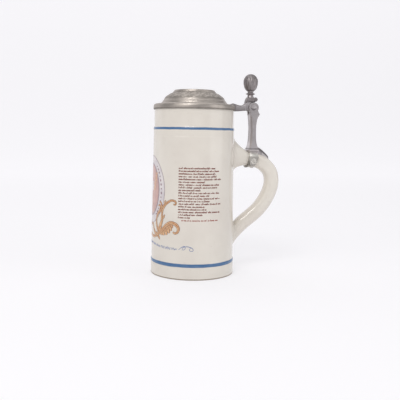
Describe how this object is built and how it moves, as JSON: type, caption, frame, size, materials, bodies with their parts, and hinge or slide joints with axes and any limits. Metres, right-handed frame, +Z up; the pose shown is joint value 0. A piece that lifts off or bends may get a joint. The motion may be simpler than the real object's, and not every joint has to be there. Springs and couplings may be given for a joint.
{
  "type": "beer stein",
  "caption": "Tall stoneware beer stein with a loop handle and a domed pewter lid, hinged on a strap-mounted post and opened with a ball thumblift.",
  "frame": {"origin": "centre of the flat foot, on the surface that the stein stands on", "axes": "+Z up along the mug's axis; +X from the axis towards the handle and the lid's hinge; the hinge pin lies along Y"},
  "size_m": [0.1322, 0.0842, 0.2005],
  "materials": {
    "glazed_stoneware": "cream salt glaze, glossy",
    "pewter": "cast pewter, dull grey with polished high spots",
    "pin_metal": "plain drawn wire"
  },
  "bodies": {
    "mug": {"stoneware_body": "glazed_stoneware", "stoneware_handle": "glazed_stoneware", "handle_strap": "pewter", "hinge_post": "pewter", "hinge_pin": "pin_metal", "pin_plug_left": "pewter", "pin_plug_right": "pewter"},
    "lid": {"lid": "pewter", "lid_tang": "pewter", "thumblift": "pewter"}
  },
  "joints": [
    {"name": "lid_hinge", "type": "hinge", "parent": "mug", "child": "lid", "pos_m": [0.0603, 0, 0.167], "axis": [0, 1, 0], "range_deg": [0, 95]}
  ]
}
